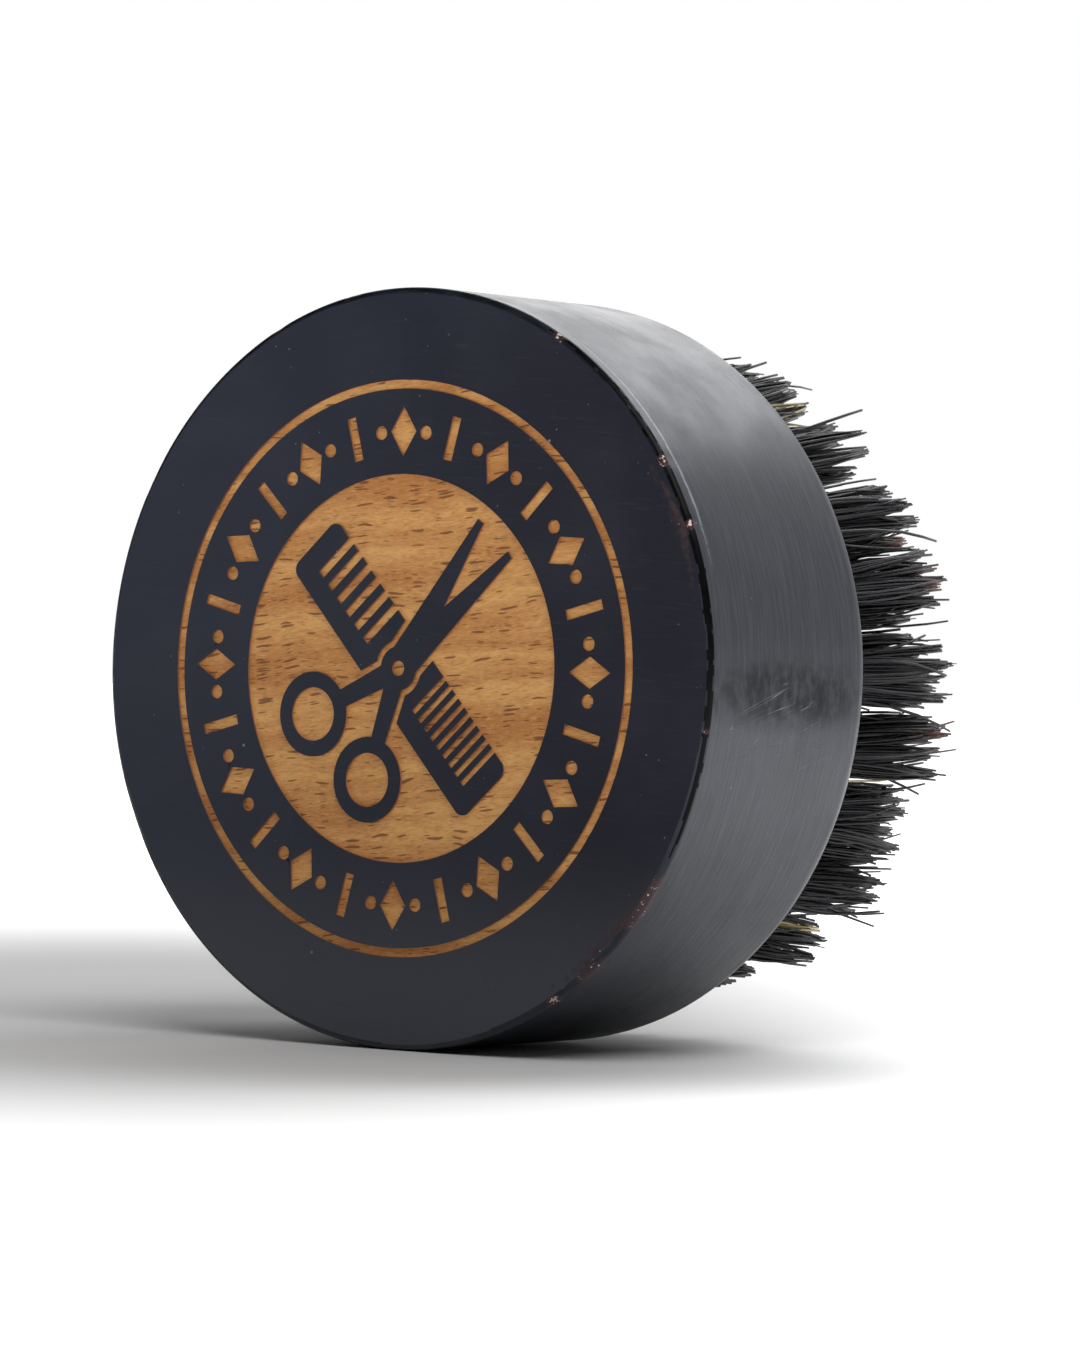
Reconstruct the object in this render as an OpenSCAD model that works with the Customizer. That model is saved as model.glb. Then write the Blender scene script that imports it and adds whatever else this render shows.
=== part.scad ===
// Round palm beard brush: a turned wooden back with an engraved flat face, and tufts of
// bristle folded over metal anchors in blind drilled holes. The brush stands on its rim,
// engraved face towards -Y and bristles towards +Y, with its lowest line on Z = 0.

/* [Back] */
// Diameter of the wooden back
back_d = 55; // [50:1:65]
// Depth of the wooden back, from the flat face to the bristle face
back_h = 20.4; // [18:0.2:26]
// Radius of the rounded edge round the bristle face
rim_r = 2; // [0.5:0.1:3]
// Radius of the small edge break round the flat face
break_r = 0.5; // [0.2:0.1:0.8]

/* [Engraving] */
// Depth of the engraving
engrave_h = 0.2; // [0.1:0.05:0.4]
// Outer diameter of the engraved ring line
ring_d = 41.6; // [40:0.2:46]
// Width of the engraved ring line
ring_w = 0.65; // [0.4:0.05:1]
// Diameter of the bare wooden disc in the middle
disc_d = 28; // [27:0.2:29]
// Number of repeats in the band of marks
repeats = 12; // [8:1:14]
// Turn of the comb and scissors from upright
cross_turn = 42; // [35:1:50]

/* [Bristles] */
// Distance between the rings of tufts
ring_step = 5.2; // [5:0.05:5.5]
// Diameter of a tuft hole
hole_d = 3.4; // [2.8:0.1:3.6]
// Depth of a tuft hole
hole_h = 8; // [6:0.5:10]
// Length of bristle that shows
tuft_l = 16; // [12:0.5:20]
// Diameter of a tuft at its tips
tip_d = 4.7; // [4:0.1:5]
// Outward lean of the outer ring of tufts
outer_lean = 4; // [0:0.5:8]
// Turn of the whole pattern of tufts about the brush's axis
pattern_turn = -1; // [-7:1:7]

/* [Anchors] */
// Width of an anchor, which bites into both walls of its hole
anchor_w = 3.9; // [3.8:0.1:4.2]
// Height of an anchor
anchor_h = 1.6; // [1:0.1:2]
// Thickness of an anchor
anchor_t = 0.35; // [0.2:0.05:0.5]
// Thickness of the bristle fold under an anchor
fold_h = 1.2; // [0.8:0.1:1.5]

/* [Hidden] */
// Tufts in each ring, from the centre outwards
TUFTS = [1, 6, 12, 18, 24];
OUTER = len(TUFTS) - 1;
// The two innermost rings share one node; each tuft of the rings named here is its own node
RING_NAMES = ["", "", "inner", "middle", "outer"];
FIRST_NAMED = 2;

function two_digits(n) = str(n < 10 ? "0" : "", n);
function tuft_name(ring, k) = str(RING_NAMES[ring], "_tuft_", two_digits(k + 1));

back_r = back_d / 2;
brush_h = back_h + tuft_l;
disc_r = disc_d / 2;
// Radial clearance between a tuft and the wall of its hole
tuft_gap = 0.05;
root_r = hole_d / 2 - tuft_gap;
tip_r = tip_d / 2;
// Radius of the soft edge round a tuft's tips
tip_round = 0.8;
// How far a cut runs past the face it opens through
past = 1;
FINE = 96;
ROUND = 48;

// ---- Placing: every piece is drawn with the flat face on z = 0 and the bristles up ----

module stood_on_rim()
    translate([0, -brush_h / 2, back_r]) rotate([-90, 0, 0]) children();

// Puts its children at the mouth of hole k of a ring, leaning as that hole leans
module at_hole(ring, k) {
    turn = 360 * k / TUFTS[ring] + pattern_turn;
    lean = outer_lean * ring / OUTER;
    rotate([0, 0, turn])
        translate([ring_step * ring, 0, back_h])
            rotate([0, lean, 0])
                rotate([0, 0, -turn])
                    children();
}

module at_every_hole()
    for (ring = [0:OUTER])
        for (k = [0:TUFTS[ring] - 1])
            at_hole(ring, k) children();

// ---- Engraving, drawn as the viewer of the flat face sees it ----

module ring_2d(outer_r, width)
    difference() {
        circle(outer_r, $fn = FINE);
        circle(outer_r - width, $fn = FINE);
    }

module around(count, radius, offset_turn = 0)
    for (i = [0:count - 1])
        rotate(360 * i / count + offset_turn) translate([0, radius]) children();

module lozenge_2d(width, height)
    polygon([[width / 2, 0], [0, height / 2], [-width / 2, 0], [0, -height / 2]]);

// The band: lozenges with a dot on each side, and a bar between neighbours
module band_2d() {
    band_out = ring_d / 2 - ring_w;
    middle_r = (band_out + disc_r) / 2;
    lozenge_h = 3.6;
    lozenge_w = 2.3;
    bar_w = 0.75;
    bar_h = 3.2;
    dot_r = 0.5;
    dot_turn = 360 / repeats / 4.4;
    around(repeats, middle_r) lozenge_2d(lozenge_w, lozenge_h);
    around(repeats, middle_r, 180 / repeats) square([bar_w, bar_h], center = true);
    for (side = [-1, 1])
        around(repeats, middle_r, side * dot_turn) circle(dot_r, $fn = ROUND);
}

// A bar that tapers from one width to another, with its start on the origin and its end up
module taper_2d(start_w, end_w, length)
    polygon([
        [-start_w / 2, 0], [start_w / 2, 0],
        [end_w / 2, length], [-end_w / 2, length]
    ]);

// Scissors with their pivot on the origin and points up; grow widens the outline all round
module scissors_2d(grow = 0) {
    blade_l = 12.8;
    blade_w = 2.6;
    blade_tip_w = 0.6;
    blade_turn = 8;
    shank_l = 6;
    shank_w = 1.7;
    shank_tip_w = 1.3;
    shank_turn = 24;
    bow_r = 3.1;
    bow_w = 1.15;
    hub_r = 1.6;
    circle(hub_r + grow, $fn = ROUND);
    for (side = [-1, 1]) {
        rotate(side * blade_turn)
            taper_2d(blade_w + 2 * grow, blade_tip_w + 2 * grow, blade_l + grow);
        rotate(180 - side * shank_turn) {
            taper_2d(shank_w + 2 * grow, shank_tip_w + 2 * grow, shank_l);
            translate([0, shank_l + bow_r - bow_w / 2])
                difference() {
                    circle(bow_r + grow, $fn = ROUND);
                    circle(bow_r - bow_w, $fn = ROUND);
                }
        }
    }
}

module scissors_screw_2d()
    circle(0.55, $fn = ROUND);

// Comb along Y, centred on the origin, teeth towards +X: wide gaps in one half, narrow in the other
module comb_2d() {
    comb_l = 24;
    comb_w = 5.4;
    spine_w = 1.7;
    end_l = 1.5;
    end_r = 0.8;
    wide_gap = 0.62;
    narrow_gap = 0.4;
    wide_count = 6;
    narrow_count = 9;
    // Where the gaps start, clear of the scissors that cross the middle
    start = 2.9;
    run = comb_l / 2 - end_l - start;
    difference() {
        rounded_bar_2d(comb_w, comb_l, end_r);
        translate([spine_w - comb_w / 2, start])
            comb_gaps_2d(wide_count, wide_gap, run, comb_w);
        mirror([0, 1])
            translate([spine_w - comb_w / 2, start])
                comb_gaps_2d(narrow_count, narrow_gap, run, comb_w);
    }
}

// A rectangle centred on the origin, its corners rounded
module rounded_bar_2d(width, length, corner_r) {
    square([width - 2 * corner_r, length], center = true);
    square([width, length - 2 * corner_r], center = true);
    for (x = [-1, 1])
        for (y = [-1, 1])
            translate([x * (width / 2 - corner_r), y * (length / 2 - corner_r)])
                circle(corner_r, $fn = ROUND);
}

// A row of gaps between comb teeth, evenly spread along run
module comb_gaps_2d(count, gap, run, depth)
    for (i = [0:count - 1])
        translate([0, (i + 0.5) * run / count - gap / 2])
            square([depth, gap]);

module disc_2d() {
    clear = 0.45;
    difference() {
        circle(disc_r, $fn = FINE);
        rotate(-cross_turn)
            difference() {
                scissors_2d();
                scissors_screw_2d();
            }
        difference() {
            rotate(cross_turn) comb_2d();
            rotate(-cross_turn) scissors_2d(clear);
        }
    }
}

module emblem_2d() {
    ring_2d(ring_d / 2, ring_w);
    band_2d();
    disc_2d();
}

// ---- Pieces ----

// Outline of the back: axis on the left, flat face at the bottom, rounded at both edges
module back_profile() {
    difference() {
        square([back_r, back_h]);
        translate([back_r - break_r, 0]) square([break_r, break_r]);
        translate([back_r - rim_r, back_h - rim_r]) square([rim_r, rim_r]);
    }
    translate([back_r - break_r, break_r]) circle(break_r, $fn = ROUND);
    translate([back_r - rim_r, back_h - rim_r]) circle(rim_r, $fn = ROUND);
}

module tuft_hole()
    translate([0, 0, -hole_h]) cylinder(h = hole_h + past, d = hole_d, $fn = ROUND);

// One flat anchor, lying across its hole above the fold of the bristles
module anchor()
    translate([-anchor_w / 2, -anchor_t / 2, fold_h - hole_h])
        cube([anchor_w, anchor_t, anchor_h]);

// Half outline of a tuft: round fold at the bottom, straight in its hole, then flaring to the tips
module tuft_profile() {
    intersection() {
        translate([0, root_r - hole_h]) circle(root_r, $fn = ROUND);
        translate([0, -hole_h]) square([root_r, root_r]);
    }
    polygon([
        [0, root_r - hole_h], [root_r, root_r - hole_h], [root_r, 0],
        [tip_r, tuft_l - tip_round], [tip_r - tip_round, tuft_l], [0, tuft_l]
    ]);
}

module tuft(ring, k)
    color("#26262a")
        stood_on_rim()
            at_hole(ring, k)
                difference() {
                    rotate_extrude($fn = ROUND) tuft_profile();
                    anchor();
                }

module wooden_back()
    color("#2b2d35")
        stood_on_rim()
            difference() {
                rotate_extrude($fn = FINE) back_profile();
                translate([0, 0, -past])
                    linear_extrude(past + engrave_h)
                        mirror([0, 1]) emblem_2d();
                at_every_hole() tuft_hole();
                at_every_hole() anchor();
            }

module anchors()
    color("#b9b9b4")
        stood_on_rim()
            at_every_hole() anchor();

module centre_tufts()
    for (ring = [0:FIRST_NAMED - 1])
        for (k = [0:TUFTS[ring] - 1])
            tuft(ring, k);

wooden_back();
anchors();
centre_tufts();
for (ring = [FIRST_NAMED:OUTER])
    for (k = [0:TUFTS[ring] - 1])
        tuft(ring, k);
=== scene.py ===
"""Looks of the round palm beard brush: a lacquered beech back with an engraved face, and 61 tufts
of folded boar bristle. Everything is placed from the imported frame; lengths are in metres."""

import math

import bmesh
import bpy
import numpy as np
from mathutils import Matrix, Vector, noise


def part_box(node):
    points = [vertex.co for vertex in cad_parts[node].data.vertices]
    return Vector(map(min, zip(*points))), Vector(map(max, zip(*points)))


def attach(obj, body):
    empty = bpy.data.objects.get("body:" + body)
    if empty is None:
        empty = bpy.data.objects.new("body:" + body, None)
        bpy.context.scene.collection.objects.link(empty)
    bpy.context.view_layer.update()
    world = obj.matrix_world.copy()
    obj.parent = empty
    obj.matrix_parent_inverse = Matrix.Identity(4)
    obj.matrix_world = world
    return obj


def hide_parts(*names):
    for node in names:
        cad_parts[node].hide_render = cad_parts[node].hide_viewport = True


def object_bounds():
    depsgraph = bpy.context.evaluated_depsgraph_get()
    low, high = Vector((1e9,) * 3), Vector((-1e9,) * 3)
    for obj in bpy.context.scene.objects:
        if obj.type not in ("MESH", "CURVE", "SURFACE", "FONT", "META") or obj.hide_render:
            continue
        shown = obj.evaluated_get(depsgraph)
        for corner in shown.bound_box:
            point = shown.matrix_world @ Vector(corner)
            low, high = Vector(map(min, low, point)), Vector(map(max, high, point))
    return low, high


MM = 0.001
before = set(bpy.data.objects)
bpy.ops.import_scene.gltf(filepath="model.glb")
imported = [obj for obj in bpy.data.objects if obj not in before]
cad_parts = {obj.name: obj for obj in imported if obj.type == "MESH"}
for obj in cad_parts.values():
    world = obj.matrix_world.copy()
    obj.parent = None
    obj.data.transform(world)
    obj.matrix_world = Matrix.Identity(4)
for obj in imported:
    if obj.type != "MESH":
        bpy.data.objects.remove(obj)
cad_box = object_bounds()

# ---- Driving sizes, read from the frame ----

back_low, back_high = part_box("wooden_back")
BACK_R = (back_high.x - back_low.x) / 2
FACE_Y = back_low.y
BRISTLE_Y = back_high.y
TIP_Y = cad_box[1].y
TUFT_L = TIP_Y - BRISTLE_Y
CENTRE = Vector((0, 0, BACK_R))
FACE_MM = FACE_Y / MM       # FACE_Y and BACK_R in millimetres, the unit of the materials
BACK_R_MM = BACK_R / MM

# ---- Sizes of the looks ----

BREAK_R = 0.5 * MM          # edge break round the flat face
RIM_R = 2.0 * MM            # rounded edge round the bristle face
AROUND = 480                # facets round the back
EDGE_STEPS = 8              # points along the outline's edge break
SIDE_STEPS = 14             # along its straight side with the ends, and along its rounded edge
WELD = 0.001 * MM           # vertices closer than this are one
FLAT = 0.99                 # how nearly a polygon faces along the axis to count as flat
UNDIPPED = 0.01             # part of each edge's radius, beside the flat, that stays even
SHARP = math.radians(30)    # polygons that meet at more than this have a sharp edge
HOLE_R = 1.7 * MM           # radius of a tuft's hole
HOLE_DEPTH = 8 * MM
HOLE_SEGMENTS = 32
ANCHOR_LOW = 6.8 * MM       # depth of an anchor's lower edge below the bristle face
ANCHOR_CLEAR = 0.42 * MM    # least room for a bristle beside an anchor's middle and under its edge


# ---- Node trees ----

class Nodes:
    """A node tree, emptied, with short calls for new nodes."""

    def __init__(self, tree):
        self.tree = tree
        self.tree.nodes.clear()

    def node(self, kind, inputs=(), **settings):
        """A new node, with its inputs linked or set and its settings applied."""
        made = self.tree.nodes.new(kind)
        for name, value in settings.items():
            setattr(made, name, value)
        for name, value in dict(inputs).items():
            self.put(made.inputs[name], value)
        return made

    def put(self, socket, value):
        """Links another node's output to the socket, or sets the socket to a constant."""
        if isinstance(value, bpy.types.NodeSocket):
            self.tree.links.new(value, socket)
        else:
            socket.default_value = value

    def math(self, operation, a, b=0.0, c=0.0, clamp=False):
        """One arithmetic operation on up to three values."""
        made = self.node("ShaderNodeMath", {0: a, 1: b, 2: c}, operation=operation, use_clamp=clamp)
        return made.outputs[0]

    def step(self, value, low, high, start=0.0, end=1.0):
        """start where the value is at low, end where it is at high, smooth between."""
        made = self.node(
            "ShaderNodeMapRange",
            {"Value": value, "From Min": low, "From Max": high, "To Min": start, "To Max": end},
            interpolation_type="SMOOTHSTEP",
        )
        return made.outputs["Result"]


class Shader(Nodes):
    """A material with a Principled surface, and short calls for the nodes that feed it."""

    def __init__(self, name):
        self.material = bpy.data.materials.new(name)
        self.material.use_nodes = True
        super().__init__(self.material.node_tree)
        self.surface = self.node("ShaderNodeBsdfPrincipled")
        self.node("ShaderNodeOutputMaterial", {"Surface": self.surface.outputs[0]})

    def set(self, **inputs):
        """Sets or links the surface's inputs; a name's underscores stand for spaces."""
        for name, value in inputs.items():
            self.put(self.surface.inputs[name.replace("_", " ")], value)

    def place_mm(self):
        """The point on the object, in millimetres from the frame's origin."""
        place = self.node("ShaderNodeTexCoord").outputs["Object"]
        scaled = self.node("ShaderNodeVectorMath", {0: place, "Scale": 1 / MM}, operation="SCALE")
        return scaled.outputs["Vector"]

    def scaled(self, vector, x, y, z, turn=(0, 0, 0)):
        """A point turned by degrees about each axis, then scaled along each axis."""
        turned = self.node(
            "ShaderNodeMapping",
            {"Vector": vector, "Rotation": [math.radians(t) for t in turn]},
        )
        made = self.node(
            "ShaderNodeVectorMath", {0: turned.outputs[0], 1: (x, y, z)}, operation="MULTIPLY"
        )
        return made.outputs[0]

    def noise(self, vector, scale=1.0, detail=3.0, roughness=0.5):
        """Smooth random values round 0.5; scale is about how many bumps fit in the vector's unit."""
        made = self.node(
            "ShaderNodeTexNoise",
            {"Vector": vector, "Scale": scale, "Detail": detail, "Roughness": roughness},
        )
        return made.outputs["Fac"]

    def spots(self, vector, scale, radius):
        """1 at the middle of scattered spots, 0 at radius and beyond, in the vector's unit; scale is
        about how many spots fit in that unit."""
        cells = self.node("ShaderNodeTexVoronoi", {"Vector": vector, "Scale": scale})
        return self.step(cells.outputs["Distance"], radius * scale, 0.0)

    def blend(self, amount, a, b):
        """The colour a where amount is 0, b where it is 1."""
        made = self.node("ShaderNodeMix", {0: amount, 6: a, 7: b}, data_type="RGBA")
        return made.outputs[2]

    def bump(self, height, strength, distance_mm):
        """A normal that stands for a relief, distance_mm deep where height is 1."""
        inputs = {"Height": height, "Strength": strength, "Distance": distance_mm * MM}
        return self.node("ShaderNodeBump", inputs).outputs[0]


def srgb(red, green, blue):
    """An opaque linear colour from 0 to 255 display values."""
    def linear(value):
        value /= 255
        return value / 12.92 if value <= 0.04045 else ((value + 0.055) / 1.055) ** 2.4
    return (linear(red), linear(green), linear(blue), 1.0)


RUBBED = srgb(62, 42, 44)               # lacquer worn thin over the wood
CHIPPED = srgb(214, 194, 186)           # wood where it is gone

FACE_LACQUER = srgb(30, 36, 52)         # the flat face, at its left
# painted shade: the face's tone at its right-hand side
FACE_PAINTED_SHADE = srgb(12, 14, 32)
# painted light: the face's tone at its bottom
FACE_PAINTED_LIGHT = srgb(80, 82, 90)
FACE_CLOUD = srgb(56, 58, 70)
FACE_GRAIN = srgb(56, 57, 66)
DUST = srgb(150, 160, 172)

LACQUER = srgb(20, 22, 30)              # the side wall
TURNED_LINES = srgb(40, 43, 52)
SMUDGED = srgb(4, 4, 5)
SCRATCHED = srgb(124, 126, 132)
# pale line beside the face's edge: rubbed lacquer with a painted highlight
RUBBED_HIGHLIGHT_LINE = srgb(150, 154, 164)
SPECKS = srgb(150, 154, 160)
# near-black tones of the painted shade on the edge break
SHADED_BAND = (srgb(3, 3, 4), srgb(12, 12, 14))

BEECH = (srgb(190, 126, 64), srgb(226, 170, 100))
BEECH_MOTTLE = srgb(200, 130, 68)
FIBRE_DARK = srgb(148, 92, 46)
FIBRE_PALE = srgb(240, 190, 130)
FLECK = srgb(112, 58, 26)
SCORCHED = srgb(150, 104, 74)
DRILLED = (srgb(30, 24, 20), srgb(72, 50, 34))

CHARCOAL = (srgb(2, 2, 3), srgb(48, 46, 50))
STREAK = srgb(74, 72, 76)
BROWN = srgb(116, 68, 50)
BLOND = srgb(196, 182, 128)
STEEL = (srgb(150, 148, 140), srgb(196, 194, 186))

FACE_GRAIN_TURN = -4        # degrees that the grain slopes under the lacquer
BEECH_GRAIN_TURN = 5        # and where the wood is bare
SCRATCH_TURN = -17          # degrees that the side wall's scratches slope
FLECK_REACH = 0.34          # half size of the largest flecks, in cells
FLOOR_FROM = (0.12, 0.19)   # depths in mm at which the engraving's scorched wall turns to its floor

# Patches of the side wall in mm: the middle, in from the flat face and above the axis, and the
# half sizes along and up
SMUDGE_PATCH = (9.5, -1.0, 15, 3.6)
SCRATCH_PATCH = (9, -3.4, 9, 4.4)
RIGHT_FADE = (0, 5)         # how far right of the axis those two begin and are full, mm
RUB_HIGHLIGHT_PATCH = (1.4, 16, 30, 10)
RUB_HIGHLIGHT_AT = 1.42            # how far in from the flat face the rubbed line with its painted highlight is, mm
FACE_ACROSS = (-24, 24)     # how far right of the axis the face has its left's tone and the painted shade of its right, mm
FACE_RISE = (17, -1)        # heights over which it turns to the painted light of its bottom, mm
COOL_SHINE = (0.86, 0.91, 1.0, 1.0)


def worn_edge(shader, mm, base):
    """The lacquer's colour, rubbed red-brown and chipped pale where the mesh's wear attribute says."""
    wear = shader.node("ShaderNodeAttribute", attribute_name="wear").outputs["Fac"]
    rub = shader.math("MULTIPLY_ADD", shader.noise(mm, scale=2.4, detail=4), 0.9, -0.45)
    chip = shader.math("MULTIPLY_ADD", shader.noise(mm, scale=3.6, detail=2), 2.2, -1.1)
    rubbed = shader.step(shader.math("ADD", wear, rub), 0.35, 0.7)
    chipped = shader.step(shader.math("ADD", wear, chip), 0.98, 1.12)
    flat = shader.node("ShaderNodeVectorMath", {0: mm, 1: (0, 0, BACK_R_MM)}, operation="SUBTRACT")
    radius = shader.node(
        "ShaderNodeVectorMath", {0: shader.scaled(flat.outputs[0], 1, 0, 1)}, operation="LENGTH"
    ).outputs["Value"]
    outside = shader.step(radius, BACK_R_MM - 2, BACK_R_MM - 0.6)
    touched = shader.math("MULTIPLY", shader.step(wear, 0.02, 0.2), outside)
    tone = shader.blend(shader.math("MULTIPLY", rubbed, touched), base, RUBBED)
    return shader.blend(shader.math("MULTIPLY", chipped, touched), tone, CHIPPED)


def painted_face():
    """Matte near-black lacquer: faint grain telegraphed through it, blotches and dust specks, with
    painted shade towards its right and painted light towards its bottom.
    """
    s = Shader("painted_face")
    mm = s.place_mm()
    grain = s.noise(s.scaled(mm, 0.35, 1, 5, turn=(0, FACE_GRAIN_TURN, 0)), detail=4)
    cloud = s.noise(mm, scale=0.12, detail=4)
    specks = s.math("MULTIPLY", s.spots(mm, 0.3, 0.17), s.step(s.noise(mm, 0.4), 0.44, 0.54))
    fine = s.math("MULTIPLY", s.spots(mm, 0.9, 0.08), s.step(s.noise(mm, 0.7), 0.5, 0.62))
    dust = s.math("MAXIMUM", specks, fine, clamp=True)
    parts = s.node("ShaderNodeSeparateXYZ", {0: mm}).outputs
    # painted shade, darker towards the face's right
    tone = s.blend(s.step(parts["X"], *FACE_ACROSS), FACE_LACQUER, FACE_PAINTED_SHADE)
    tone = s.blend(s.math("MULTIPLY", s.step(cloud, 0.35, 0.75), 0.25), tone, FACE_CLOUD)
    # painted light, lighter towards the face's bottom
    tone = s.blend(s.step(parts["Z"], *FACE_RISE), tone, FACE_PAINTED_LIGHT)
    tone = s.blend(s.math("MULTIPLY", s.step(grain, 0.55, 0.8), 0.3), tone, FACE_GRAIN)
    tone = s.blend(s.math("MULTIPLY", dust, 0.8), worn_edge(s, mm, tone), DUST)
    s.set(Base_Color=tone, Roughness=s.math("MULTIPLY_ADD", cloud, 0.16, 0.44), IOR=1.45)
    s.set(Specular_IOR_Level=0.36)
    relief = s.math("ADD", s.math("MULTIPLY", grain, 0.7), s.math("MULTIPLY", dust, 0.6))
    s.set(Normal=s.bump(relief, 0.35, 0.03))
    return s.material


def patch(shader, mm, inwards, up, half_in, half_up):
    """1 in the middle of an oval patch of the side wall, 0 at its edge; sizes in millimetres."""
    middle = (0, FACE_MM + inwards, BACK_R_MM + up)
    moved = shader.node("ShaderNodeVectorMath", {0: mm, 1: middle}, operation="SUBTRACT")
    reach = shader.scaled(moved.outputs[0], 0, 1 / half_in, 1 / half_up)
    length = shader.node("ShaderNodeVectorMath", {0: reach}, operation="LENGTH").outputs["Value"]
    return shader.step(length, 1.0, 0.25)


def painted_side():
    """Satin black lacquer over turned wood: fine lines round the rim, a pale line beside the
    face's edge, rubbed lacquer with a painted highlight, scratches, a smudge and specks."""
    s = Shader("painted_side")
    mm = s.place_mm()
    lines = s.noise(s.scaled(mm, 0.2, 2.6, 0.2), detail=4, roughness=0.75)
    broad = s.noise(s.scaled(mm, 0.07, 0.6, 0.07), detail=3)
    cloud = s.noise(mm, scale=0.16, detail=5, roughness=0.6)
    fine = s.noise(mm, scale=1.6, detail=5, roughness=0.65)

    parts = s.node("ShaderNodeSeparateXYZ", {0: mm}).outputs
    right = s.step(parts["X"], *RIGHT_FADE)
    smudge = s.math("MULTIPLY", patch(s, mm, *SMUDGE_PATCH), right)
    blots = s.step(s.noise(s.scaled(mm, 0.8, 0.8, 0.5), detail=5, roughness=0.65), 0.35, 0.62)
    smudge = s.math("MULTIPLY", smudge, s.math("MULTIPLY_ADD", blots, 0.6, 0.4))
    scuffed = s.math("MULTIPLY", patch(s, mm, *SCRATCH_PATCH), right)
    scratch = s.math("MULTIPLY", scratches(s, mm), scuffed)
    specks = s.math("MULTIPLY", s.spots(mm, 0.33, 0.1), s.step(s.noise(mm, 0.5), 0.5, 0.6))

    inwards = s.math("SUBTRACT", parts["Y"], FACE_MM)
    # a pale line beside the face's edge: rubbed lacquer and a painted highlight
    ragged = s.math("MULTIPLY_ADD", s.noise(mm, scale=1.1, detail=3), 0.24, inwards)
    rub = s.step(s.math("ABSOLUTE", s.math("SUBTRACT", ragged, RUB_HIGHLIGHT_AT)), 0.2, 0.04)
    rub = s.math("MULTIPLY", rub, patch(s, mm, *RUB_HIGHLIGHT_PATCH))
    rub = s.math("MULTIPLY", rub, s.step(fine, 0.3, 0.48))

    tone = s.blend(s.step(lines, 0.42, 0.7), LACQUER, TURNED_LINES)
    tone = s.blend(s.math("MULTIPLY", smudge, 0.95), tone, SMUDGED)
    tone = worn_edge(s, mm, tone)
    tone = s.blend(s.math("MULTIPLY", scratch, 0.55), tone, SCRATCHED)
    # painted highlight along the rubbed line
    tone = s.blend(s.math("MULTIPLY", rub, 0.6), tone, RUBBED_HIGHLIGHT_LINE)
    tone = s.blend(s.math("MULTIPLY", specks, 0.7), tone, SPECKS)

    rough = s.math("MULTIPLY_ADD", s.step(cloud, 0.35, 0.7), 0.1, 0.25)
    rough = s.math("MULTIPLY_ADD", lines, 0.14, rough)
    rough = s.math("MULTIPLY_ADD", smudge, 0.4, rough)
    s.set(Base_Color=tone, Roughness=rough, IOR=1.5, Specular_Tint=COOL_SHINE)
    relief = s.math("MULTIPLY", lines, s.math("MULTIPLY_ADD", cloud, 1.6, -0.1))
    relief = s.math("MULTIPLY_ADD", broad, 0.6, relief)
    relief = s.math("MULTIPLY_ADD", scratch, -1.2, relief)
    s.set(Normal=s.bump(relief, 0.7, 0.06))
    return s.material


def edge_painted_shade():
    """Painted shade on the edge break round the flat face: deep black, chipped and rubbed in places."""
    s = Shader("edge_painted_shade")
    mm = s.place_mm()
    uneven = s.noise(mm, scale=1.3, detail=4)
    tone = s.blend(uneven, *SHADED_BAND)
    s.set(Base_Color=worn_edge(s, mm, tone), Roughness=s.math("MULTIPLY_ADD", uneven, 0.2, 0.22))
    s.set(IOR=1.5, Specular_IOR_Level=0.1, Normal=s.bump(uneven, 0.4, 0.05))
    return s.material


def scratches(shader, mm):
    """1 along thin straight scratches that rise towards the bristles, fading in and out."""
    across = shader.noise(shader.scaled(mm, 0.05, 0.05, 1.3, turn=(SCRATCH_TURN, 0, 0)), detail=1)
    line = shader.step(shader.math("ABSOLUTE", shader.math("SUBTRACT", across, 0.52)), 0.011, 0.002)
    return shader.math("MULTIPLY", line, shader.step(shader.noise(mm, scale=0.17), 0.38, 0.48))


def flecks(shader, along, x, z, share):
    """Short dark ray flecks, 1 inside: x and z are the cells in a millimetre, share the part of
    the cells that holds a fleck."""
    parts = shader.node("ShaderNodeSeparateXYZ", {0: shader.scaled(along, x, 0, z)}).outputs
    flat = shader.node("ShaderNodeCombineXYZ", {"X": parts["X"], "Y": parts["Z"]}).outputs[0]
    cells = shader.node("ShaderNodeTexVoronoi", {"Vector": flat, "Scale": 1}, voronoi_dimensions="2D")
    odds = shader.node("ShaderNodeSeparateColor", {0: cells.outputs["Color"]}).outputs[0]
    reach = shader.math("MULTIPLY_ADD", odds, FLECK_REACH / share, FLECK_REACH - FLECK_REACH / share)
    return shader.step(shader.math("SUBTRACT", cells.outputs["Distance"], reach), 0.03, -0.06)


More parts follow.
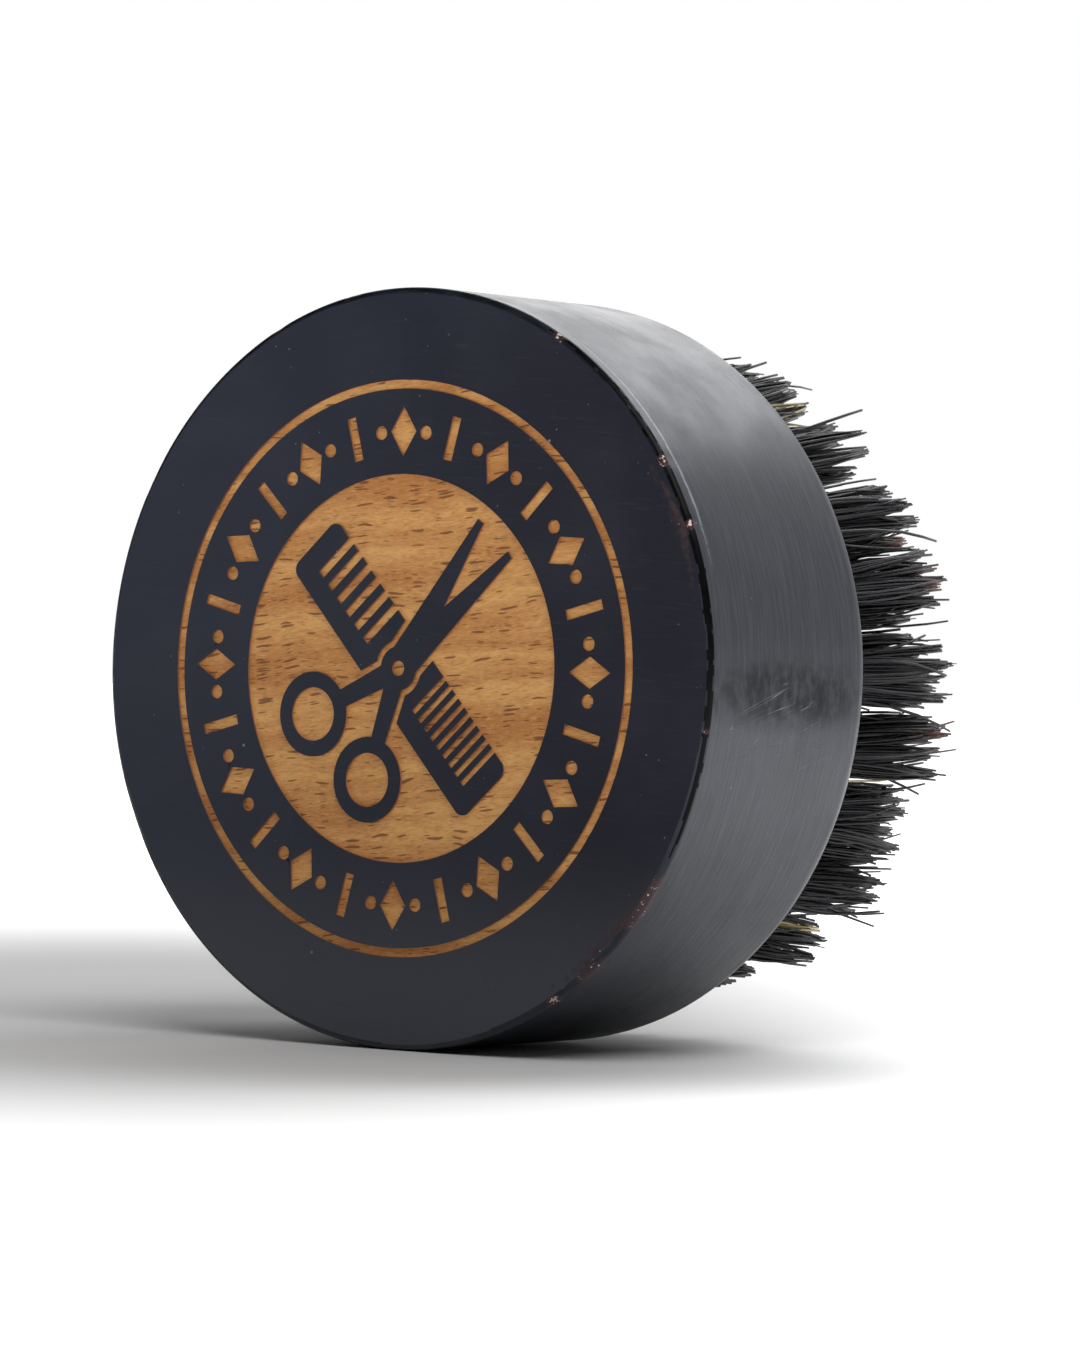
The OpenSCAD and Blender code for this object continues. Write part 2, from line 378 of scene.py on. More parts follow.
def bare_beech():
    """Beech laid bare by the engraving: warm bands, rows of dark ray flecks, scorched walls."""
    s = Shader("bare_beech")
    mm = s.place_mm()
    wave = s.noise(s.scaled(mm, 0.12, 0.12, 0.3), detail=2)
    wave = s.math("MULTIPLY_ADD", s.noise(mm, scale=0.9, detail=2), 0.16, s.math("MULTIPLY", wave, 1.6))
    bend = s.node("ShaderNodeCombineXYZ", {"Z": wave}).outputs[0]
    bent = s.node("ShaderNodeVectorMath", {0: mm, 1: bend}, operation="ADD").outputs[0]
    along = s.scaled(bent, 1, 1, 1, turn=(0, BEECH_GRAIN_TURN, 0))
    bands = s.noise(s.scaled(along, 0.05, 1, 0.45), detail=3, roughness=0.6)
    fibre = s.noise(s.scaled(along, 1.3, 1, 9), detail=5, roughness=0.7)
    mottle = s.noise(s.scaled(along, 0.5, 1, 2.2), detail=4, roughness=0.6)
    tone = s.blend(s.step(bands, 0.35, 0.65), *BEECH)
    tone = s.blend(s.math("MULTIPLY", s.step(mottle, 0.45, 0.7), 0.55), tone, BEECH_MOTTLE)
    tone = s.blend(s.math("MULTIPLY", s.step(fibre, 0.48, 0.7), 0.55), tone, FIBRE_DARK)
    tone = s.blend(s.math("MULTIPLY", s.step(fibre, 0.5, 0.28), 0.5), tone, FIBRE_PALE)
    long = flecks(s, along, 0.4, 3.4, 0.5)
    short = s.math("MULTIPLY", flecks(s, along, 0.8, 5.2, 0.5), s.step(bands, 0.6, 0.4))
    dark = s.math("MAXIMUM", long, s.math("MULTIPLY", short, 0.75))
    tone = s.blend(s.math("MULTIPLY", dark, 0.8), tone, FLECK)
    depth = s.node("ShaderNodeSeparateXYZ", {0: mm}).outputs["Y"]
    wall = s.step(depth, FACE_MM + FLOOR_FROM[1], FACE_MM + FLOOR_FROM[0])
    tone = s.blend(wall, tone, SCORCHED)
    s.set(Base_Color=tone, Roughness=s.math("MULTIPLY_ADD", fibre, 0.2, 0.5), IOR=1.45)
    relief = s.math("SUBTRACT", s.math("MULTIPLY", fibre, 0.5), s.math("MULTIPLY", dark, 0.8))
    s.set(Normal=s.bump(relief, 0.5, 0.05))
    return s.material


def drilled_beech():
    """The dark walls of the tuft holes."""
    s = Shader("drilled_beech")
    mm = s.place_mm()
    rings = s.noise(s.scaled(mm, 0.5, 6, 0.5), detail=3)
    s.set(Base_Color=s.blend(rings, *DRILLED), Roughness=0.8)
    s.set(Normal=s.bump(rings, 0.5, 0.05))
    return s.material


def bristle_hair():
    """Dyed boar bristle: charcoal with a soft sheen; some strands are brown-tipped, a few blond."""
    s = Shader("bristle_hair")
    hair = s.node("ShaderNodeAttribute", attribute_name="hair").outputs["Color"]
    parts = s.node("ShaderNodeSeparateColor", {0: hair})
    brown, blond, shade = parts.outputs[0], parts.outputs[1], parts.outputs[2]
    mm = s.place_mm()
    streak = s.noise(s.scaled(mm, 9, 0.6, 9), detail=3)
    tone = s.blend(s.step(shade, 0.35, 0.85), *CHARCOAL)
    tone = s.blend(s.math("MULTIPLY", s.step(streak, 0.5, 0.75), 0.35), tone, STREAK)
    tone = s.blend(brown, tone, BROWN)
    tone = s.blend(blond, tone, BLOND)
    s.set(Base_Color=tone, Roughness=s.math("MULTIPLY_ADD", streak, 0.2, 0.26), IOR=1.5)
    s.set(Specular_IOR_Level=0.2)
    s.set(Normal=s.bump(streak, 0.2, 0.02))
    return s.material


def anchor_steel():
    """Cut flat wire: drawn lines, a little tarnish."""
    s = Shader("anchor_steel")
    mm = s.place_mm()
    drawn = s.noise(s.scaled(mm, 0.5, 12, 12), detail=4)
    tarnish = s.noise(mm, scale=0.8, detail=3)
    s.set(Base_Color=s.blend(tarnish, *STEEL))
    s.set(Metallic=1.0, Roughness=s.math("MULTIPLY_ADD", drawn, 0.25, 0.25))
    s.set(Normal=s.bump(drawn, 0.3, 0.02))
    return s.material


# ---- Wooden back ----

# Worn stretches of the face's edge: middle angle anticlockwise from the right, half width, reach
# inwards in millimetres, and how worn: about 0.5 rubs the lacquer thin and 1 or more chips it
WORN = ((60, 1.6, 0.62, 1.35), (33, 1.5, 0.62, 1.5), (22.5, 1.0, 0.62, 1.5), (27, 4, 0.6, 0.45),
        (46, 9, 0.6, 0.45), (-8, 0.6, 0.62, 1.35), (-36, 9, 1.5, 0.85), (-50, 5, 1.2, 0.85),
        (-58, 2, 0.7, 1.3), (101, 2, 0.6, 0.8), (116, 1.6, 0.6, 0.9), (150, 4, 0.6, 0.7),
        (205, 5, 0.6, 0.8), (262, 3, 0.6, 0.8))


def wear_at(x, y, z):
    """How worn the lacquer is at a point of the back, 0 where it is whole."""
    z -= BACK_R
    from_edge = math.hypot(BACK_R - math.hypot(x, z), y - FACE_Y)
    turn = math.degrees(math.atan2(z, x))
    worst = 0.0
    for middle, half, reach, strength in WORN:
        across = abs((turn - middle + 180) % 360 - 180) / half
        near = max(0.0, 1 - from_edge / (reach * MM))
        worst = max(worst, strength * max(0.0, 1 - across ** 2) * near ** 0.5)
    return worst


def arc_points(centre_r, centre_y, radius, start, end, count):
    """Points (r, y) along an arc, its angles in degrees from straight outwards."""
    turns = np.radians(np.linspace(start, end, count))
    return [(centre_r + radius * math.cos(t), centre_y + radius * math.sin(t)) for t in turns]


def back_outline():
    """The back's outline (r, y) from the flat face's edge to the bristle face's edge."""
    side = np.linspace(FACE_Y + BREAK_R, BRISTLE_Y - RIM_R, SIDE_STEPS)[1:-1]
    return (
        arc_points(BACK_R - BREAK_R, FACE_Y + BREAK_R, BREAK_R, -90, 0, EDGE_STEPS)
        + [(BACK_R, y) for y in side]
        + arc_points(BACK_R - RIM_R, BRISTLE_Y - RIM_R, RIM_R, 0, 90, SIDE_STEPS)
    )


SANDED = 0.02 * MM          # unevenness that sanding by hand left
SANDED_OVER = 9 * MM        # how far apart its waves are
CHIP_DEPTH = 0.05 * MM      # depth of the worn places
CHIP_OVER = 0.5 * MM        # size of a chip in them


def turned_back():
    """The back before cutting, as a lathe with a hand-sanded unevenness and chips in its edge."""
    outline = back_outline()
    bm = bmesh.new()
    rings = []
    for r, y in outline:
        ring = []
        for k in range(AROUND):
            turn = 2 * math.pi * k / AROUND
            point = Vector((r * math.cos(turn), y, BACK_R + r * math.sin(turn)))
            inward = Vector((-math.cos(turn), 0.0, -math.sin(turn)))
            dip = SANDED * (1 + noise.noise(point / SANDED_OVER))
            dip += CHIP_DEPTH * wear_at(*point) * (1 + noise.noise(point / CHIP_OVER))
            flat = r < BACK_R - BREAK_R * (1 - UNDIPPED) or y > BRISTLE_Y - RIM_R * UNDIPPED
            ring.append(bm.verts.new(point if flat else point + inward * dip))
        rings.append(ring)
    for a, b in zip(rings, rings[1:]):
        for k in range(AROUND):
            n = (k + 1) % AROUND
            bm.faces.new((a[k], a[n], b[n], b[k]))
    bm.faces.new(reversed(rings[0]))
    bm.faces.new(rings[-1])
    bmesh.ops.recalc_face_normals(bm, faces=bm.faces)
    return as_object(bm, "back_blank")


def as_object(bm, name):
    """A new object in the scene that holds the mesh."""
    mesh = bpy.data.meshes.new(name)
    bm.to_mesh(mesh)
    bm.free()
    made = bpy.data.objects.new(name, mesh)
    bpy.context.scene.collection.objects.link(made)
    return made


RECESS = (0.05 * MM, 1 * MM)    # least and most depth of a face of the engraving's floor
PAST = 1 * MM                   # how far a cutter runs past the face it opens through
ONE_PLANE = 0.001               # polygons that meet at less than this, in radians, are one


def engraving_cutter():
    """The engraved recess as closed prisms, raised from the floor of the CAD back's own recess."""
    bm = bmesh.new()
    bm.from_mesh(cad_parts["wooden_back"].data)
    bmesh.ops.remove_doubles(bm, verts=bm.verts, dist=WELD)
    spare = [
        f for f in bm.faces
        if f.normal.y > -FLAT or not RECESS[0] < f.calc_center_median().y - FACE_Y < RECESS[1]
    ]
    bmesh.ops.delete(bm, geom=spare, context="FACES")
    bmesh.ops.dissolve_limit(bm, angle_limit=ONE_PLANE, verts=bm.verts, edges=bm.edges)
    floor = list(bm.faces)
    raised = bmesh.ops.extrude_face_region(bm, geom=floor)["geom"]
    top = [v for v in raised if isinstance(v, bmesh.types.BMVert)]
    bmesh.ops.translate(bm, verts=top, vec=(0, -PAST, 0))
    bmesh.ops.recalc_face_normals(bm, faces=bm.faces)
    return as_object(bm, "engraving_cutter")


def hole_cutter(tufts):
    """A cylinder for each tuft's hole, along the tuft's own axis."""
    bm = bmesh.new()
    for tuft in tufts:
        lift = HOLE_DEPTH / 2 - PAST
        middle = tuft["mouth"] - tuft["axis"] * lift
        turn = tuft["axis"].to_track_quat("Z", "Y").to_matrix().to_4x4()
        bmesh.ops.create_cone(
            bm, cap_ends=True, segments=HOLE_SEGMENTS, radius1=HOLE_R, radius2=HOLE_R,
            depth=HOLE_DEPTH + 2 * PAST, matrix=Matrix.Translation(middle) @ turn,
        )
    return as_object(bm, "hole_cutter")


def cut(body, cutter):
    """Takes the cutter's shape out of the body, leaving the cutter's material on the cut."""
    made = body.modifiers.new(cutter.name, "BOOLEAN")
    made.operation = "DIFFERENCE"
    made.solver = "EXACT"
    made.material_mode = "TRANSFER"
    made.object = cutter


SHADED_BAND_TURN = math.radians(17)    # middle of the band of painted shade on the edge break, anticlockwise from the right
SHADED_BAND_WIDTH = 0.7                # its width in the middle, as a part of the edge break
SHADED_BAND_RAGGED = 0.4               # how much that varies
RAGGED_OVER = 0.7 * MM          # how far apart the bumps of its edges are


def on_shaded_band(point):
    """Whether a point of the rounded edge is on the band of painted shade, which tapers off each way.
    """
    x, y, z = point - CENTRE
    if not FACE_Y < y < FACE_Y + BREAK_R:
        return False
    turn = math.atan2(z, x)
    out = math.hypot(x, z) - (BACK_R - BREAK_R)
    along = math.degrees(math.atan2(out, FACE_Y + BREAK_R - y)) / 45 - 1
    ragged = SHADED_BAND_WIDTH + SHADED_BAND_RAGGED * noise.noise(point / RAGGED_OVER)
    return abs(along) < ragged * max(0.0, math.cos(2 * (turn - SHADED_BAND_TURN))) ** 0.5


SIDE, FACE, EDGE = range(3)


def wooden_back(tufts):
    """The turned back, engraved and drilled, in place of the CAD's."""
    body = turned_back()
    for material in (painted_side(), painted_face(), edge_painted_shade()):
        body.data.materials.append(material)
    for polygon in body.data.polygons:
        polygon.material_index = FACE if polygon.normal.y < -FLAT else SIDE
        # the band of painted shade on the edge break
        if on_shaded_band(polygon.center):
            polygon.material_index = EDGE
    engraving, holes = engraving_cutter(), hole_cutter(tufts)
    engraving.data.materials.append(bare_beech())
    holes.data.materials.append(drilled_beech())
    cut(body, engraving)
    cut(body, holes)
    graph = bpy.context.evaluated_depsgraph_get()
    mesh = bpy.data.meshes.new_from_object(body.evaluated_get(graph))
    for spare in (body, engraving, holes):
        bpy.data.objects.remove(spare)
    mesh.name = "wooden_back_finish"
    mesh.polygons.foreach_set("use_smooth", [True] * len(mesh.polygons))
    mesh.set_sharp_from_angle(angle=SHARP)
    wear = mesh.attributes.new("wear", "FLOAT", "POINT")
    wear.data.foreach_set("value", [wear_at(*v.co) for v in mesh.vertices])
    back = bpy.data.objects.new("wooden_back_finish", mesh)
    bpy.context.scene.collection.objects.link(back)
    back.modifiers.new("flat_faces", "WEIGHTED_NORMAL").keep_sharp = True
    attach(back, "root")
    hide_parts("wooden_back")


# ---- Tufts ----

def in_order(verts):
    """The vertices in the mesh's own order: a set's order changes from run to run."""
    return sorted(verts, key=lambda vert: vert.index)


def tufts_of(node):
    """Each tuft of a CAD node: where its axis leaves the wood, and the axis towards its tips."""
    bm = bmesh.new()
    bm.from_mesh(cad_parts[node].data)
    bmesh.ops.remove_doubles(bm, verts=bm.verts, dist=WELD)
    bm.verts.index_update()
    left, found = set(bm.verts), []
    while left:
        first = in_order(left)[0]
        left.remove(first)
        island, edge = set(), [first]
        while edge:
            vert = edge.pop()
            island.add(vert)
            near = {e.other_vert(vert) for e in vert.link_edges} & left
            left -= near
            edge.extend(near)
        points = np.array([v.co for v in in_order(island)])
        middle = points.mean(0)
        axis = Vector(np.linalg.svd(points - middle, full_matrices=False)[2][0]).normalized()
        axis *= math.copysign(1, axis.y)
        middle = Vector(middle)
        found.append({"mouth": middle + axis * ((BRISTLE_Y - middle.y) / axis.y), "axis": axis})
    bm.free()
    return found


# A pair named "least, extra" is the least of a random value and the most that chance adds to it.

BRISTLES = 130              # folded bristles in a tuft, each with two tips
BRISTLE_R = 0.11 * MM
THICKNESS = (0.75, 0.45)    # a bristle's radius at its fold, of BRISTLE_R: least, extra
TAPER = 0.15                # part of its radius that it loses evenly to its tip
POINT = 0.4                 # part that it loses mostly near the tip
POINT_POWER = 8             # how near
SIDES = 4                   # of a bristle's section
RISE = np.array((0.0, 0.22, 0.46, 0.68, 0.86, 1.0))     # rings along the part that shows

HOLE_GAP = 0.06 * MM        # from the outermost bristles to the wall of their hole
OTHER_LEG = (0.8, 0.2)      # a second leg's distance from the middle, of the first's: least, extra
FOLD_ALONG = 0.93           # a bristle's place along the anchor at its fold, of that at the mouth
FOLD_ACROSS = 0.6           # and its place across it, beside the anchor
FOLD_DEEPER = 0.35          # how much deeper it folds for each millimetre across at the mouth

LOCKS = 13                  # bunches that a tuft's tips gather into
FIRST_LOCK = 0.4            # locks' worth of the tuft's section inside the first one's middle
LOCK_SPREAD = 2.75 * MM     # about how far the last is from the middle
GOLDEN_ANGLE = math.pi * (3 - math.sqrt(5))     # turn from each lock to the next
LOCK_SCATTER = 0.3 * MM
LOCK_LENGTH = 1.02          # length of the middle lock, of the CAD tuft's
LOCK_FALL = 0.13            # how much shorter the outermost is
LOCK_UNEVEN = 0.04

FLARE = 1.95                # how much wider a tuft is at its tips than at its hole
FLARE_POWER = 0.65          # under 1, so that it widens most near the hole
TIP_SCATTER = 0.34 * MM
PULL = (0.3, 0.6)           # part of the way that a tip gathers to its lock: least, extra
PULL_POWER = 2.4            # over 1, so that it gathers most near the tip
UNEVEN = 0.05               # how much shorter than its lock a bristle is, of the CAD tuft's length
DOMED = 1.1                 # how much shorter for each millimetre from its lock's middle
CUT_SHORT = 0.05            # part of the tips that are cut short
CUT_TO = 0.85
BOW = 0.26 * MM             # how far bristles bow to a side
STRAYS = 0.06               # part of the bristles that stick out of their tuft
STRAY_OUT = 1.1 * MM
STRAY_BOW = 2.4             # how much more they bow
PROUD = 0.9 * MM            # the longest a bristle stands past the CAD tuft

RING_R = 20.8 * MM          # outer ring of tufts
SPLAY = 3.0                 # degrees that the outer ring's bristles lean out past their holes
SET = 3.0                   # degrees that they also lean anticlockwise round the ring
LEAN = 1.6                  # degrees that a tuft leans by chance

BROWN_LOCKS = 0.03          # part of the locks with brown tips
BROWN_TIP = (0.4, 0.6)      # how brown such a tip is: least, extra
BROWN_FROM = 0.72           # where along the bristle the brown begins
BROWN_OVER = 0.2            # and how much further on it is full
BLOND_PART = 0.6            # part of a blond lock that is blond
BLOND_HAIRS = 0.002         # part of all bristles that are blond on their own
TINTED = {"brown": ("outer_tuft_02", "outer_tuft_24"), "blond": ("outer_tuft_05", "outer_tuft_21")}
DOWN = 0.25                 # a tinted lock is the one furthest right, and this much of that down


def chance(rng, least_extra, shape):
    """Random numbers between the pair's least and its least plus its extra."""
    least, extra = least_extra
    return least + extra * rng.random(shape)


def make_locks(rng):
    """Where the tips gather, how long each lock is, and how brown or blond it is."""
    number = np.arange(LOCKS)
    radius = LOCK_SPREAD * np.sqrt((number + FIRST_LOCK) / LOCKS)
    turn = number * GOLDEN_ANGLE + 2 * math.pi * rng.random()
    centre = np.stack([radius * np.cos(turn), radius * np.sin(turn)], axis=1)
    length = LOCK_LENGTH - LOCK_FALL * (number + FIRST_LOCK) / LOCKS
    return {
        "centre": centre + LOCK_SCATTER * rng.standard_normal((LOCKS, 2)),
        "length": length + LOCK_UNEVEN * rng.standard_normal(LOCKS),
        "brown": rng.random(LOCKS) < BROWN_LOCKS,
        "blond": np.zeros(LOCKS, bool),
        "shade": rng.random(LOCKS),
    }


def strands(rng, start, locks, stray):
    """The part of each strand that shows, (strand, ring, 3): across, across and along the tuft."""
    count = len(start)
    free = start * FLARE + TIP_SCATTER * rng.standard_normal((count, 2))
    off = locks["centre"][None] - free[:, None]
    nearest = np.argmin(np.linalg.norm(off, axis=2), axis=1)
    off = off[np.arange(count), nearest]
    pull = chance(rng, PULL, count)[:, None]
    length = TUFT_L * (locks["length"][nearest] - UNEVEN * np.abs(rng.standard_normal(count)))
    length -= DOMED * np.linalg.norm(off, axis=1)
    length[rng.random(count) < CUT_SHORT] *= CUT_TO
    free[stray] += STRAY_OUT * rng.standard_normal((stray.sum(), 2))
    bow = BOW * rng.standard_normal((count, 2))
    bow[stray] *= STRAY_BOW
    rise = RISE[None, :, None]
    across = start[:, None] + (free - start)[:, None] * rise ** FLARE_POWER
    across += (off * pull)[:, None] * rise ** PULL_POWER + bow[:, None] * np.sin(np.pi * rise)
    along = np.minimum(length, TUFT_L + PROUD)[:, None] * RISE[None]
    return np.concatenate([across, along[:, :, None]], axis=2), nearest


def folded_bristles(rng, locks):
    """Centre lines (bristle, ring, 3) of one tuft's bristles, each folded under the anchor,
    and the lock that each end belongs to."""
    reach = HOLE_R - BRISTLE_R - HOLE_GAP
    disc = reach * np.sqrt(rng.random(BRISTLES))
    turn = np.pi * rng.random(BRISTLES)
    right = np.stack([disc * np.cos(turn), disc * np.sin(turn)], axis=1)
    left = right * (1, -1) * chance(rng, OTHER_LEG, (BRISTLES, 1))
    stray = rng.random(BRISTLES) < STRAYS
    (up_right, lock_right), (up_left, lock_left) = (
        strands(rng, start, locks, stray) for start in (right, left)
    )
    along = FOLD_ALONG * right[:, 0]
    half = np.maximum(FOLD_ACROSS * right[:, 1], ANCHOR_CLEAR)
    low = np.full(BRISTLES, -ANCHOR_LOW)
    low_right, low_left = (
        np.stack([along, side * half, low], axis=1)[:, None] for side in (1, -1)
    )
    deep = ANCHOR_CLEAR + FOLD_DEEPER * right[:, 1]
    fold = np.stack([along, 0 * half, low - deep], axis=1)[:, None]
    paths = np.concatenate([up_right[:, ::-1], low_right, fold, low_left, up_left], axis=1)
    return paths, lock_right, lock_left


def tubes(paths, along, radius):
    """Closed tubes on the paths (path, ring, 3); along is the unit vector square to their bends."""
    count, rings = paths.shape[:2]
    tangent = np.gradient(paths, axis=1)
    tangent /= np.linalg.norm(tangent, axis=2, keepdims=True)
    first = np.cross(tangent, along)
    first /= np.linalg.norm(first, axis=2, keepdims=True)
    second = np.cross(tangent, first)
    turn = 2 * np.pi * np.arange(SIDES) / SIDES
    ring = (
        first[:, :, None] * np.cos(turn)[:, None] + second[:, :, None] * np.sin(turn)[:, None]
    )
    verts = paths[:, :, None] + ring * radius[:, :, None, None]
    at = np.arange(count * rings * SIDES).reshape(count, rings, SIDES)
    low, high = at[:, :-1], at[:, 1:]
    quads = np.stack(
        [low, np.roll(low, -1, axis=2), np.roll(high, -1, axis=2), high], axis=3
    ).reshape(-1, 4)
    caps = [at[:, 0, ::-1], at[:, -1]]
    return verts.reshape(-1, 3), quads.tolist() + caps[0].tolist() + caps[1].tolist()


def tuft_tint(rng, locks, lock_right, lock_left, share):
    """Each ring's brown, blond and shade, as a colour (bristle, ring, 4)."""
    half = share.shape[1] // 2
    right = np.arange(share.shape[1]) < half
    brown, blond, shade = (
        np.where(right, locks[tint][lock_right][:, None], locks[tint][lock_left][:, None])
        for tint in ("brown", "blond", "shade")
    )
    each = (BRISTLES, 1)
    brown = brown * chance(rng, BROWN_TIP, each) * np.clip((share - BROWN_FROM) / BROWN_OVER, 0, 1)
    blond = blond * (rng.random(each) < BLOND_PART) + (rng.random(each) < BLOND_HAIRS)
    shade = (shade + rng.random(each)) / 2
    return np.stack([brown, blond, shade, np.ones_like(share)], axis=2)


def tuft(node, seed):
    """A node's tuft or tufts, as folded bristles in place of the CAD solids."""
    rng = np.random.default_rng(seed)
    all_verts, all_faces, all_tints = [], [], []
    for place in tufts_of(node):
        out = np.array(place["axis"])
        across = np.cross(out, (0, 0, 1))
        across /= np.linalg.norm(across)
        side = np.cross(out, across)
        away = place["mouth"] - CENTRE
        splay = math.radians(SPLAY) * (math.hypot(away.x, away.z) / RING_R) ** 2
        away = np.array((away.x, 0, away.z)) / max(math.hypot(away.x, away.z), MM)
        round_ring = np.array((-away[2], 0, away[0]))
        pushed = splay * away + splay * SET / SPLAY * round_ring
        lean = np.radians(LEAN) * rng.standard_normal(2) + (pushed @ across, pushed @ side)
        locks = make_locks(rng)
        reach = (across[0] - DOWN * across[2], side[0] - DOWN * side[2])
        low_right = np.argmax(locks["centre"] @ reach)
        for tint, nodes in TINTED.items():
            locks[tint][low_right] |= node in nodes
        paths, lock_right, lock_left = folded_bristles(rng, locks)
        shown = np.maximum(paths[:, :, 2], 0)
        paths[:, :, :2] += shown[:, :, None] * np.tan(lean)
        world = paths @ np.stack([across, side, out]) + np.array(place["mouth"])
        share = shown / TUFT_L
        size = BRISTLE_R * chance(rng, THICKNESS, (BRISTLES, 1))
        radius = size * (1 - TAPER * share - POINT * share ** POINT_POWER)
        verts, faces = tubes(world, across, radius)
        tint = tuft_tint(rng, locks, lock_right, lock_left, share)
        start = sum(len(v) for v in all_verts)
        all_verts.append(verts)
        all_faces += [[start + i for i in f] for f in faces]
        all_tints.append(np.repeat(tint[:, :, None], SIDES, axis=2).reshape(-1, 4))
    mesh = bpy.data.meshes.new(node + "_bristles")
    mesh.from_pydata(np.concatenate(all_verts).tolist(), [], all_faces)
    mesh.polygons.foreach_set("use_smooth", [True] * len(mesh.polygons))
    hair = mesh.attributes.new("hair", "FLOAT_COLOR", "POINT")
    hair.data.foreach_set("color", np.concatenate(all_tints).ravel())
    mesh.materials.append(HAIR)
    piece = bpy.data.objects.new(node + "_bristles", mesh)
    bpy.context.scene.collection.objects.link(piece)
    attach(piece, "root")
    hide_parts(node)


# ---- Stage ----

VIEW_AZIMUTH = 36.7         # the camera's, in degrees round from straight in front of the face
WALL = 0.88                 # radiance of the pale wall behind the brush
WALL_EDGE = (0.4, 0.7)      # Y of the unit directions at which it begins and is full
WALL_RISE = 0.35            # Z of the unit directions at which it is brightest
WALL_SHADE = (0.75, 1.05)   # its brightness at the level of the brush, and at its brightest
FLOOR_PAINTED_LIGHT = 1.3                 # radiance of the painted light that the floor gives off beyond the paper under the brush
SHADE_AT = (-32, 40)        # middle of the painted shadow, where the paper gives off no light: across and away from the camera, mm
SHADE_HALF = (52, 110)      # its half sizes, mm
SHADE_FADE = (0.4, 2.2)     # of those, how far out the painted light begins and is full
CONTACT_AT = (-5, -20)      # middle of the painted contact shadow, in front of where the brush stands, mm
CONTACT_FADE = (12, 42)     # how far out from it that light begins and is full, mm
FLOOR_HALF = 6              # half the floor's side, in metres
FLOOR_CELLS = 8             # along each side
PAPER = (srgb(215, 215, 215), srgb(219, 219, 219))

VIEW_DISTANCE = 413.7 * MM
VIEW_ROLL = 1.35            # degrees that the camera leans
SENSOR = 36                 # its width in mm
LENS = 185.2                # focal length in mm
NEAR_CLIP = 10 * MM
AIM_IN = 17.1 * MM          # how far in from the flat face the camera is aimed
AIM_DOWN = 0.24 * MM        # and how far below the axis


def floor():
    """White paper under the brush that gives off painted light further out, leaving a painted
    shadow and a painted contact shadow round the brush.
    """
    bm = bmesh.new()
    bmesh.ops.create_grid(bm, x_segments=FLOOR_CELLS, y_segments=FLOOR_CELLS, size=FLOOR_HALF)
    made = as_object(bm, "floor")
    s = Shader("pale_floor")
    mm = s.place_mm()
    paper = s.noise(mm, scale=0.02, detail=2)
    s.set(Base_Color=s.blend(paper, *PAPER), Roughness=0.8)
    s.set(Specular_IOR_Level=0.1)
    seen = s.scaled(mm, 1 / SHADE_HALF[0], 1 / SHADE_HALF[1], 0, turn=(0, 0, -VIEW_AZIMUTH))
    middle = (SHADE_AT[0] / SHADE_HALF[0], SHADE_AT[1] / SHADE_HALF[1], 0)
    away = s.node("ShaderNodeVectorMath", {0: seen, 1: middle}, operation="DISTANCE")
    contact = s.scaled(mm, 1, 1, 0, turn=(0, 0, -VIEW_AZIMUTH))
    near = s.node("ShaderNodeVectorMath", {0: contact, 1: (*CONTACT_AT, 0)}, operation="DISTANCE")
    # painted light on the floor, held back in the painted shadows round the brush
    glow = s.math("MULTIPLY", s.step(away.outputs["Value"], *SHADE_FADE), FLOOR_PAINTED_LIGHT)
    glow = s.math("MULTIPLY", glow, s.step(near.outputs["Value"], *CONTACT_FADE))
    s.set(Emission_Color=(1, 1, 1, 1), Emission_Strength=glow)
    made.data.materials.append(s.material)


def softbox(name, azimuth, elevation, distance, width, height, radiance):
    """A soft rectangular light that faces the brush from a direction given in degrees."""
    light = bpy.data.lights.new(name, "AREA")
    light.shape = "RECTANGLE"
    light.size, light.size_y = width, height
    light.energy = radiance * math.pi * width * height
    made = bpy.data.objects.new(name, light)
    bpy.context.scene.collection.objects.link(made)
    towards = direction(azimuth, elevation)
    made.location = CENTRE + towards * distance
    made.rotation_euler = towards.to_track_quat("Z", "Y").to_euler()
    made.visible_camera = False


def direction(azimuth, elevation):
    """Unit vector from the brush towards a viewer: azimuth 0 is in front of the flat face."""
    a, e = math.radians(azimuth), math.radians(elevation)
    return Vector((math.sin(a) * math.cos(e), -math.cos(a) * math.cos(e), math.sin(e)))


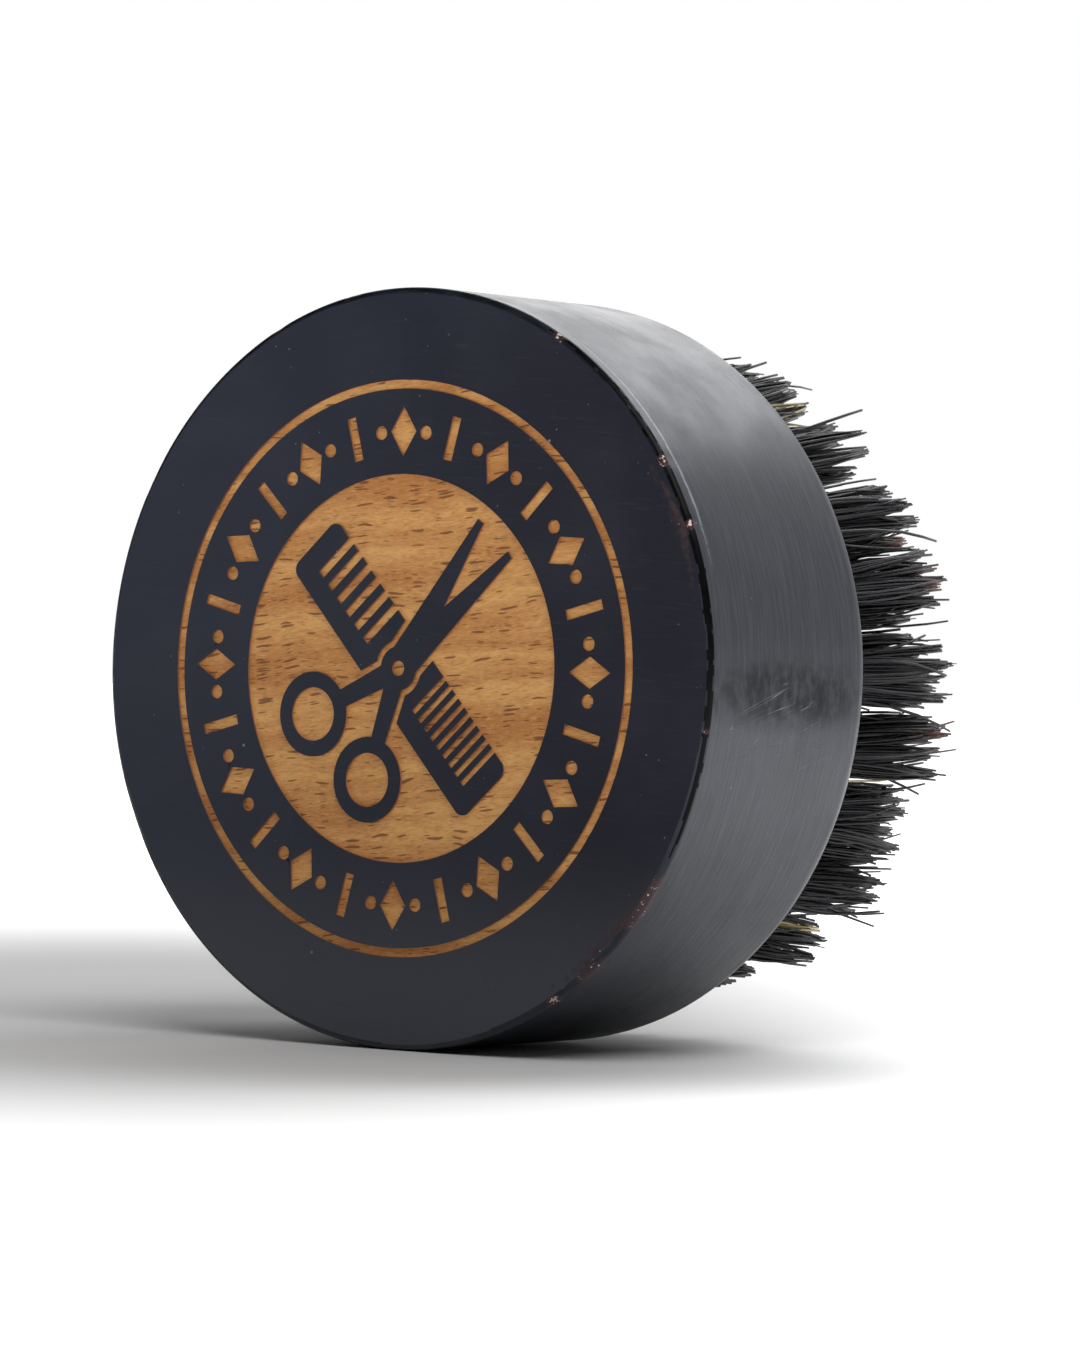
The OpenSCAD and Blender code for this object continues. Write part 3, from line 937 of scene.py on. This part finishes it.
def studio_world():
    """White all round for the camera; as a light, a pale wall behind the brush in a dark room."""
    world = bpy.data.worlds.new("studio")
    bpy.context.scene.world = world
    world.use_nodes = True
    n = Nodes(world.node_tree)
    towards = n.node("ShaderNodeTexCoord").outputs["Generated"]
    parts = n.node("ShaderNodeSeparateXYZ", {0: towards}).outputs
    wall = n.step(parts["Y"], *WALL_EDGE, 0.0, WALL)
    rise = n.step(parts["Z"], 0.0, WALL_RISE, *WALL_SHADE)
    shown = n.node("ShaderNodeLightPath").outputs["Is Camera Ray"]
    strength = n.math("MAXIMUM", n.math("MULTIPLY", wall, rise), shown)
    light = n.node("ShaderNodeBackground", {"Color": (1, 1, 1, 1), "Strength": strength})
    n.node("ShaderNodeOutputWorld", {"Surface": light.outputs[0]})


def camera():
    """A long lens, level with the brush's axis and round to its right, aimed at its middle."""
    data = bpy.data.cameras.new("camera")
    data.sensor_fit = "HORIZONTAL"
    data.sensor_width = SENSOR
    data.lens = LENS
    data.clip_start = NEAR_CLIP
    made = bpy.data.objects.new("camera", data)
    bpy.context.scene.collection.objects.link(made)
    view = direction(VIEW_AZIMUTH, 0)
    aim = Vector((0, FACE_Y + AIM_IN, BACK_R - AIM_DOWN))
    made.location = aim + view * VIEW_DISTANCE
    roll = Matrix.Rotation(math.radians(VIEW_ROLL), 3, "Z")
    made.rotation_euler = (view.to_track_quat("Z", "Y").to_matrix() @ roll).to_euler()
    bpy.context.scene.camera = made


FIRST_SEED = 100
HAIR = bristle_hair()
TUFT_NODES = sorted(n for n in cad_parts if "tuft" in n)
wooden_back([t for node in TUFT_NODES for t in tufts_of(node)])
for number, node in enumerate(TUFT_NODES):
    tuft(node, seed=FIRST_SEED + number)
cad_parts["anchors"].data.materials[0] = anchor_steel()

floor()
studio_world()
softbox("key", 50, 50, distance=1.0, width=0.6, height=0.5, radiance=4.3)
softbox("side", 90, 55, distance=1.0, width=0.6, height=0.6, radiance=2.0)
softbox("overhead", 182, 45, distance=0.8, width=0.4, height=0.28, radiance=4.4)
softbox("rim", 212, 22, distance=0.8, width=0.3, height=0.25, radiance=1.8)
camera()
bpy.context.scene.view_settings.view_transform = "Standard"
